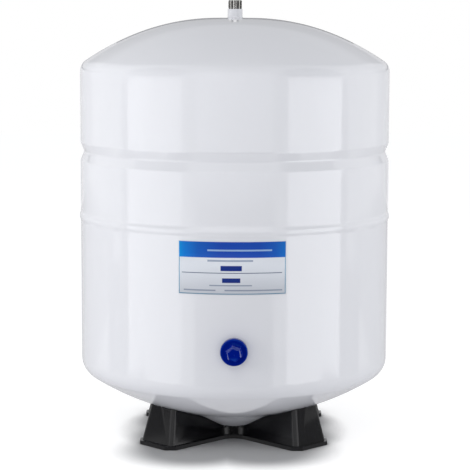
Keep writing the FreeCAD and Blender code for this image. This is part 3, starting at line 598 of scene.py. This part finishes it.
def make_label():
    """A strip of film swung along the wall, with its own flat UV map."""
    centre = -90 - math.degrees(LABEL_SHIFT / SHELL_R)
    span = math.degrees(LABEL_WIDTH / SHELL_R)
    start = math.radians(centre - span / 2)
    outer = LABEL_R + LABEL_WALL
    ends = [
        (outer * math.cos(start) * MM, outer * math.sin(start) * MM, height * MM)
        for height in (LABEL_Z, LABEL_Z + LABEL_RISE)
    ]
    shape = swing_edge(ends, (0, 0, 0), (0, 0, 1), span, 64)
    bmesh.ops.recalc_face_normals(shape, faces=shape.faces[:])
    for face in shape.faces:
        middle = face.calc_center_median()
        if face.normal.dot(Vector((middle.x, middle.y, 0))) < 0:
            face.normal_flip()
    layer = shape.loops.layers.uv.new("label_plan")
    for face in shape.faces:
        for loop in face.loops:
            place = loop.vert.co
            along = math.degrees(math.atan2(place.y, place.x)) - centre + span / 2
            loop[layer].uv = (
                along / span * LABEL_WIDTH / LABEL_RISE,
                (place.z / MM - LABEL_Z) / LABEL_RISE,
            )
    piece = as_object("label_film", shape)
    give_wall(piece, LABEL_WALL)
    return piece


# Stand

def make_stand(node):
    """The moulded cross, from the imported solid, with its edges broken."""
    shape = bmesh.new()
    shape.from_mesh(node.data)
    bmesh.ops.remove_doubles(shape, verts=shape.verts[:], dist=0.000005)
    bmesh.ops.dissolve_limit(
        shape, angle_limit=math.radians(1.0), use_dissolve_boundaries=False,
        verts=shape.verts[:], edges=shape.edges[:],
    )
    piece = as_object("moulded_stand", shape, crease=30.0)
    round_edges(piece, STAND_EDGE, segments=2, angle=28.0)
    return piece


# Materials

def new_material(name):
    """A material with its node tree, its links and its main shader."""
    material = bpy.data.materials.new(name)
    material.use_nodes = True
    nodes = material.node_tree.nodes
    return material, nodes, material.node_tree.links, nodes["Principled BSDF"]


def empty_tree(owner):
    """The node tree of a world or a material, with nothing in it yet."""
    owner.use_nodes = True
    owner.node_tree.nodes.clear()
    return owner.node_tree.nodes, owner.node_tree.links


def remap(nodes, links, value, given, wanted):
    """Stretch a value from one range to another, and hold it at the ends."""
    spread = nodes.new("ShaderNodeMapRange")
    for name, number in zip(("From Min", "From Max", "To Min", "To Max"), given + wanted):
        spread.inputs[name].default_value = number
    links.new(value, spread.inputs["Value"])
    return spread


def combine(nodes, links, operation, first, second):
    """Make one value of two."""
    both = nodes.new("ShaderNodeMath")
    both.operation = operation
    links.new(first, both.inputs[0])
    links.new(second, both.inputs[1])
    return both.outputs["Value"]


def blend(nodes, links, share, under, over):
    """Mix two colours; each is three numbers or the output of another node."""
    mix = nodes.new("ShaderNodeMix")
    mix.data_type = "RGBA"
    links.new(share, mix.inputs["Factor"])
    for name, colour in (("A", under), ("B", over)):
        if isinstance(colour, tuple):
            mix.inputs[name].default_value = (*colour, 1)
        else:
            links.new(colour, mix.inputs[name])
    return mix.outputs["Result"]


def grain_group():
    """Fine uneven surface: a value from 0 to 1 and a slightly disturbed normal."""
    group = bpy.data.node_groups.new("surface_grain", "ShaderNodeTree")
    for name, default in (("Size", 400.0), ("Strength", 0.1), ("Depth", 0.0002)):
        socket = group.interface.new_socket(name, in_out="INPUT", socket_type="NodeSocketFloat")
        socket.default_value = default
    group.interface.new_socket("Value", in_out="OUTPUT", socket_type="NodeSocketFloat")
    group.interface.new_socket("Normal", in_out="OUTPUT", socket_type="NodeSocketVector")
    nodes, links = group.nodes, group.links
    inside = nodes.new("NodeGroupInput")
    outside = nodes.new("NodeGroupOutput")
    place = nodes.new("ShaderNodeTexCoord")
    noise = nodes.new("ShaderNodeTexNoise")
    noise.inputs["Detail"].default_value = 4
    noise.inputs["Roughness"].default_value = 0.55
    bump = nodes.new("ShaderNodeBump")
    links.new(place.outputs["Object"], noise.inputs["Vector"])
    links.new(inside.outputs["Size"], noise.inputs["Scale"])
    links.new(noise.outputs["Fac"], bump.inputs["Height"])
    links.new(inside.outputs["Strength"], bump.inputs["Strength"])
    links.new(inside.outputs["Depth"], bump.inputs["Distance"])
    links.new(noise.outputs["Fac"], outside.inputs["Value"])
    links.new(bump.outputs["Normal"], outside.inputs["Normal"])
    return group


GRAIN = grain_group()


def add_grain(nodes, links, shader, size, strength, depth, rough):
    """Disturb the normal and vary the roughness between two values with the shared grain."""
    grain = nodes.new("ShaderNodeGroup")
    grain.node_tree = GRAIN
    grain.inputs["Size"].default_value = size
    grain.inputs["Strength"].default_value = strength
    grain.inputs["Depth"].default_value = depth
    spread = remap(nodes, links, grain.outputs["Value"], (0.3, 0.7), rough)
    links.new(spread.outputs["Result"], shader.inputs["Roughness"])
    links.new(grain.outputs["Normal"], shader.inputs["Normal"])
    return grain


def grained(
    name, dark, light, size, strength, depth, rough,
    metallic=0.0, ior=1.5, specular=0.5, tint=(1.0, 1.0, 1.0),
):
    """One finish that drifts between two near shades with its grain."""
    material, nodes, links, shader = new_material(name)
    shader.inputs["Metallic"].default_value = metallic
    shader.inputs["IOR"].default_value = ior
    shader.inputs["Specular IOR Level"].default_value = specular
    shader.inputs["Specular Tint"].default_value = (*tint, 1)
    grain = add_grain(nodes, links, shader, size, strength, depth, rough)
    shade = blend(nodes, links, grain.outputs["Value"], dark, light)
    links.new(shade, shader.inputs["Base Color"])
    return material


def shell_paint():
    """White powder paint: a smooth gloss with the faintest orange peel."""
    return grained(
        "white_shell_paint", (0.785, 0.788, 0.815), (0.795, 0.798, 0.825),
        size=320.0, strength=0.06, depth=0.00004, rough=(0.07, 0.11), ior=1.55,
    )


def turned_steel():
    """Stainless steel from the lathe: a bright surface with the finest rings round the axis."""
    material, nodes, links, shader = new_material("turned_steel")
    shader.inputs["Metallic"].default_value = 1.0
    place = nodes.new("ShaderNodeTexCoord")
    rings = nodes.new("ShaderNodeTexWave")
    rings.wave_type = "BANDS"
    rings.bands_direction = "Z"
    rings.inputs["Scale"].default_value = 2400.0
    rings.inputs["Distortion"].default_value = 1.0
    grain = add_grain(
        nodes, links, shader, size=900.0, strength=0.05, depth=0.00001, rough=(0.04, 0.09)
    )
    bump = nodes.new("ShaderNodeBump")
    bump.inputs["Strength"].default_value = 0.08
    bump.inputs["Distance"].default_value = 0.00001
    links.new(place.outputs["Object"], rings.inputs["Vector"])
    links.new(rings.outputs["Fac"], bump.inputs["Height"])
    links.new(grain.outputs["Normal"], bump.inputs["Normal"])
    links.new(bump.outputs["Normal"], shader.inputs["Normal"])
    shade = blend(
        nodes, links, grain.outputs["Value"], (0.70, 0.69, 0.67), (0.80, 0.79, 0.77)
    )
    links.new(shade, shader.inputs["Base Color"])
    return material


def box_mask(nodes, links, across, up, left, right, low, high):
    """1 inside a box of the label, in millimetres from its lower left, and 0 outside."""
    mask = None
    for value, first, last in ((across, left, right), (up, low, high)):
        for start, ramp in ((first, (0, 1)), (last, (1, 0))):
            edge = remap(nodes, links, value, (start - PRINT_EDGE, start + PRINT_EDGE), ramp)
            step = edge.outputs["Result"]
            mask = step if mask is None else combine(nodes, links, "MULTIPLY", mask, step)
    return mask


def label_film():
    """Printed film: a blue head band, paler at its ends, with plain bars and rules below."""
    material, nodes, links, shader = new_material("label_print")
    shader.inputs["Specular IOR Level"].default_value = 0.25
    plan = nodes.new("ShaderNodeUVMap")
    plan.uv_map = "label_plan"
    measure = nodes.new("ShaderNodeVectorMath")
    measure.operation = "SCALE"
    measure.inputs["Scale"].default_value = LABEL_RISE
    split = nodes.new("ShaderNodeSeparateXYZ")
    links.new(plan.outputs["UV"], measure.inputs[0])
    links.new(measure.outputs["Vector"], split.inputs["Vector"])
    across, up = split.outputs["X"], split.outputs["Y"]
    grain = add_grain(
        nodes, links, shader, size=700.0, strength=0.05, depth=0.00003, rough=(0.30, 0.40)
    )

    share = nodes.new("ShaderNodeMath")
    share.operation = "DIVIDE"
    share.inputs[1].default_value = LABEL_WIDTH
    links.new(across, share.inputs[0])
    band = nodes.new("ShaderNodeValToRGB")
    stops = band.color_ramp.elements
    stops[0].color = (*HEAD_BLUES[0][1], 1)
    stops[1].color = (*HEAD_BLUES[-1][1], 1)
    for place, blue in HEAD_BLUES[1:-1]:
        stops.new(place).color = (*blue, 1)
    links.new(share.outputs["Value"], band.inputs["Fac"])

    paper = blend(nodes, links, grain.outputs["Value"], *PAPER_SHADES)
    inner = PRINT_MARGIN + FRAME_LINE
    fields = [
        (ink, inset, LABEL_WIDTH - inset, inset, LABEL_RISE - inset)
        for ink, inset in ((FRAME_BLUE, PRINT_MARGIN), (paper, inner))
    ]
    fields.append((
        band.outputs["Color"], PRINT_MARGIN, LABEL_WIDTH - PRINT_MARGIN,
        HEAD_FOOT, LABEL_RISE - PRINT_MARGIN,
    ))
    fields.extend(PRINTED_FIELDS)
    colour = paper
    for ink, left, right, low, high in fields:
        mask = box_mask(nodes, links, across, up, left, right, low, high)
        colour = blend(nodes, links, mask, colour, ink)
    links.new(colour, shader.inputs["Base Color"])
    return material


# Stage: floor, cards, light and camera

def show_white(nodes, links, plain, white, output):
    """Mix in the white for what the camera sees directly, in gloss and through glass."""
    path = nodes.new("ShaderNodeLightPath")
    mask = path.outputs["Is Camera Ray"]
    for ray in ("Is Glossy Ray", "Is Transmission Ray"):
        mask = combine(nodes, links, "MAXIMUM", mask, path.outputs[ray])
    mix = nodes.new("ShaderNodeMixShader")
    links.new(mask, mix.inputs["Fac"])
    links.new(plain, mix.inputs[1])
    links.new(white, mix.inputs[2])
    links.new(mix.outputs["Shader"], output)


def make_world():
    """Even, slightly cool light from all round, behind a white that only the eye sees."""
    world = bpy.data.worlds.new("studio_air")
    bpy.context.scene.world = world
    nodes, links = empty_tree(world)
    airs = []
    for tone, strength in ((AIR_TONE, AIR_STRENGTH), ((1, 1, 1), 1.0)):
        air = nodes.new("ShaderNodeBackground")
        air.inputs["Color"].default_value = (*tone, 1)
        air.inputs["Strength"].default_value = strength
        airs.append(air.outputs["Background"])
    output = nodes.new("ShaderNodeOutputWorld")
    show_white(nodes, links, airs[0], airs[1], output.inputs["Surface"])


def painted_shadow_pool(nodes, links):
    """1 on the open floor, down to 0 in a painted soft shadow in front of the stand."""
    place = nodes.new("ShaderNodeTexCoord")
    # The floor is folded over in x at the middle. In y it is moved well clear of the fold.
    aside = nodes.new("ShaderNodeMapping")
    aside.inputs["Location"].default_value = (-SHADOW_POOL_X, -FOLD_CLEARANCE, 0)
    fold = nodes.new("ShaderNodeVectorMath")
    fold.operation = "ABSOLUTE"
    ellipse = nodes.new("ShaderNodeMapping")
    ellipse.vector_type = "TEXTURE"
    ellipse.inputs["Location"].default_value = (SHADOW_POOL_APART, FOLD_CLEARANCE - SHADOW_POOL_Y, 0)
    ellipse.inputs["Scale"].default_value = (*SHADOW_POOL_HALVES, 1)
    fade = nodes.new("ShaderNodeTexGradient")
    fade.gradient_type = "SPHERICAL"
    links.new(place.outputs["Object"], aside.inputs["Vector"])
    links.new(aside.outputs["Vector"], fold.inputs[0])
    links.new(fold.outputs["Vector"], ellipse.inputs["Vector"])
    links.new(ellipse.outputs["Vector"], fade.inputs["Vector"])
    lit = remap(nodes, links, fade.outputs["Fac"], SHADOW_POOL_FADE, (1.0, 0.0))
    lit.interpolation_type = "SMOOTHSTEP"
    return lit.outputs["Result"]


def make_floor():
    """A floor that is plain for the light, and white for the eye: its real shadow shows in
    part, and painted shade darkens it by the feet and in front of the stand.
    """
    shape = bmesh.new()
    bmesh.ops.create_circle(shape, cap_ends=True, segments=128, radius=FLOOR_R)
    floor = as_object("floor", shape)
    floor.location.z = -FLOOR_DROP
    material = bpy.data.materials.new("white_floor")
    nodes, links = empty_tree(material)
    plain = nodes.new("ShaderNodeBsdfDiffuse")
    plain.inputs["Color"].default_value = (*FLOOR_LIT_TONE, 1)
    seen = nodes.new("ShaderNodeBsdfDiffuse")
    seen.inputs["Color"].default_value = (*FLOOR_SEEN_TONE, 1)
    # Painted contact shade: the floor's glow fades where ambient occlusion finds the stand's
    # feet near.
    near = nodes.new("ShaderNodeAmbientOcclusion")
    near.inputs["Distance"].default_value = PAINTED_CONTACT_REACH
    near.samples = 16
    painted_contact_shade = remap(nodes, links, near.outputs["AO"], PAINTED_CONTACT_RANGE, PAINTED_CONTACT_GLOW)
    # The painted shadow pool dims the glow again in front of the stand.
    strength = combine(
        nodes, links, "MULTIPLY", painted_contact_shade.outputs["Result"], painted_shadow_pool(nodes, links)
    )
    glow = nodes.new("ShaderNodeEmission")
    glow.inputs["Color"].default_value = (1, 1, 1, 1)
    links.new(strength, glow.inputs["Strength"])
    white = nodes.new("ShaderNodeAddShader")
    links.new(seen.outputs["BSDF"], white.inputs[0])
    links.new(glow.outputs["Emission"], white.inputs[1])
    output = nodes.new("ShaderNodeOutputMaterial")
    show_white(
        nodes, links, plain.outputs["BSDF"], white.outputs["Shader"], output.inputs["Surface"]
    )
    floor.data.materials.append(material)
    floor.visible_glossy = False


def mirror_only(card, shade):
    """Let a card glow in one grey, and show in gloss alone."""
    material = bpy.data.materials.new(card.name + "_tone")
    nodes, links = empty_tree(material)
    glow = nodes.new("ShaderNodeEmission")
    glow.inputs["Color"].default_value = (shade, shade, shade * 1.02, 1)
    output = nodes.new("ShaderNodeOutputMaterial")
    links.new(glow.outputs["Emission"], output.inputs["Surface"])
    card.data.materials.append(material)
    card.visible_camera = False
    card.visible_diffuse = False
    card.visible_shadow = False
    card.visible_transmission = False


def make_card(name, place, facing, width, height, shade):
    """A flat card of one tone, turned to face a point."""
    shape = bmesh.new()
    bmesh.ops.create_grid(shape, x_segments=1, y_segments=1, size=0.5)
    bmesh.ops.scale(shape, vec=(width, height, 1), verts=shape.verts[:])
    look = (Vector(facing) - Vector(place)).to_track_quat("Z", "Y").to_matrix().to_4x4()
    bmesh.ops.transform(shape, matrix=Matrix.Translation(place) @ look, verts=shape.verts[:])
    mirror_only(as_object(name, shape), shade)


def hang_cards():
    """The studio that the gloss mirrors: a bright panel on each side, among greys and darks."""
    # The panels, each with a dim frame at its rear edge.
    for name, x, y, width, shade in (
        ("left_panel", -CARD_SIDE, -0.391, 0.502, 1.9),
        ("left_frame", -CARD_SIDE, -0.1175, 0.045, 0.4),
        ("right_panel", CARD_SIDE, -0.386, 0.492, 2.4),
        ("right_frame", CARD_SIDE, -0.1175, 0.045, 0.4),
    ):
        make_card(name, (x, y, CARD_Z), (0, y, CARD_Z), width, CARD_HEIGHT, shade)
    # Greys behind the panels' foot, and darks that end the panels above and below.
    for side, x in (("left", -CARD_SIDE), ("right", CARD_SIDE)):
        for end, y, z, width, height, shade in (
            ("low", -0.04, 0.05, 0.11, 0.14, 0.4),
            ("over", -0.39, 0.64, 0.50, 0.65, 0.05),
            ("under", -0.39, -0.45, 0.50, 0.60, 0.05),
        ):
            make_card(f"{side}_{end}", (x, y, z), (0, y, z), width, height, shade)
    # In front, under the tank, on the table, behind and overhead.
    for name, place, facing, width, height, shade in (
        ("front_pale", (0, -2.6, 0.95), (0, 0, 0.95), 2.6, 1.9, 1.5),
        ("skirt_pale", (0, -0.90, -0.105), (0, 0, -0.105), 0.9, 0.49, 0.45),
        ("skirt_dark", (0, -0.89, -0.13), (0, 0, -0.13), 0.9, 0.44, 0.05),
        ("table_back", (0, 1.0, -0.0005), (0, 1.0, 1.0), 3.6, 1.7, 0.6),
        ("table_middle", (0, -0.05, -0.0005), (0, -0.05, 1.0), 0.88, 0.4, 0.6),
        ("back_grey", (0, 1.9, 0.65), (0, 0, 0.65), 5.0, 1.3, 0.72),
        ("back_dark", (0, 1.89, 1.1), (0, 0, 1.1), 1.8, 0.6, 0.52),
        ("ceiling_grey", (0, 1.5, 1.6), (0, 1.5, 0), 2.4, 2.2, 0.7),
    ):
        make_card(name, place, facing, width, height, shade)
    # Black rails at the outlet's height, open at the left and the right.
    make_rail("rail_behind", 85, 275)
    make_rail("rail_in_front", -24, 33)
    make_arch()


def make_rail(name, first, last):
    """A black strip round the stage; degrees count from the front towards the right."""
    start = math.radians(first - 90)
    ends = [
        (RAIL_R * math.cos(start), RAIL_R * math.sin(start), height)
        for height in (RAIL_LOW, RAIL_HIGH)
    ]
    shape = swing_edge(ends, (0, 0, 0), (0, 0, 1), last - first, 48)
    mirror_only(as_object(name, shape), 0.0)


def make_arch():
    """A grey arch just behind the crown, for the fine dark line along its top."""
    centre = (crown_land() + CROWN_FLAT - DISH_R) * MM
    start = math.radians(ARCH_START)
    ends = [
        (radius * math.cos(start), ARCH_Y, centre + radius * math.sin(start))
        for radius in ARCH_RADII
    ]
    shape = swing_edge(ends, (0, ARCH_Y, centre), (0, -1, 0), ARCH_SPAN, 32)
    mirror_only(as_object("arch_behind", shape), 0.25)


def make_lamp(name, place, target, size, watts):
    """A soft lamp that lights the object but isn't mirrored as a disc of its own."""
    lamp = bpy.data.lights.new(name, "AREA")
    lamp.shape = "DISK"
    lamp.size = size
    lamp.energy = watts
    holder = bpy.data.objects.new(name, lamp)
    holder.location = place
    aim = Vector(target) - Vector(place)
    holder.rotation_euler = aim.to_track_quat("-Z", "Y").to_euler()
    holder.visible_glossy = False
    bpy.context.scene.collection.objects.link(holder)


def make_camera():
    """The photograph's view: 1.6 m off, near the outlet's height, tilted down."""
    lens = bpy.data.cameras.new("photo_camera")
    lens.sensor_width = SENSOR
    lens.lens = FOCAL_PIXELS / PHOTO_PIXELS * SENSOR
    camera = bpy.data.objects.new("photo_camera", lens)
    camera.location = CAMERA_PLACE
    camera.rotation_euler = (math.radians(90 - CAMERA_DROP), math.radians(CAMERA_ROLL), 0)
    bpy.context.scene.collection.objects.link(camera)
    bpy.context.scene.camera = camera


# Build

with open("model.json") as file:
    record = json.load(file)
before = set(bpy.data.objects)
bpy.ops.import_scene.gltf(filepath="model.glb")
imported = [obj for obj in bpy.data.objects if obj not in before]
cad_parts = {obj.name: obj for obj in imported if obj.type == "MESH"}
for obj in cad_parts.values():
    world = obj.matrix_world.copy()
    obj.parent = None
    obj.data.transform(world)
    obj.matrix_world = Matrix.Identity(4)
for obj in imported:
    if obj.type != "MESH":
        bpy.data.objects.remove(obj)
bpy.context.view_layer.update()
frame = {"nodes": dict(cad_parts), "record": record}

paint = shell_paint()
steel = turned_steel()
black = grained(
    "black_moulding", (0.004, 0.004, 0.005), (0.007, 0.007, 0.008),
    size=900.0, strength=0.05, depth=0.00004, rough=(0.10, 0.16), specular=0.25,
)
blue = grained(
    "blue_moulding", (0.0, 0.006, 0.20), (0.0, 0.009, 0.24),
    size=900.0, strength=0.05, depth=0.00003, rough=(0.08, 0.13), tint=(0.1, 0.45, 1),
)
film = label_film()

dome = make_dome()
give_wall(dome, SHELL_WALL)
dress(dome, paint, "tank", ["upper_shell"])
base = make_base()
give_wall(base, SHELL_WALL)
pierce_base(base)
dress(base, paint, "tank", ["lower_shell"])
dress(make_bead(), paint, "tank", ["seam_weld"])
dress(make_collar(), paint, "tank", ["port_neck", "neck_weld"])
dress(make_outlet(), steel, "tank", ["inlet_connector"])
dress(make_cap(), blue, "cap", ["valve_cap"])
dress(make_label(), film, "tank", ["label"])
dress(make_stand(frame["nodes"]["stand"]), black, "tank", ["stand"])

# The nodes that no piece replaces keep their solids and get a finish.
inside = {slot: grained(*finish) for slot, finish in INSIDE_FINISHES.items()}
inside["connector_steel"] = steel
slots = {part["node"]: part["material_slot"] for part in frame["record"]["subparts"]}
for name, node in frame["nodes"].items():
    finish = inside.get(slots[name])
    if finish:
        node.data.materials.clear()
        node.data.materials.append(finish)

make_world()
make_floor()
hang_cards()
make_lamp("left_key", (-1.9, -0.68, 0.52), (0, 0, 0.2), 0.9, 14.7)
make_lamp("right_fill", (1.9, -0.4, 0.46), (0, 0, 0.2), 0.9, 10.3)
make_lamp("front_top", (-0.15, -1.0, 0.8), (0, 0, 0.25), 0.5, 1.2)
make_camera()
bpy.context.scene.view_settings.view_transform = "Standard"
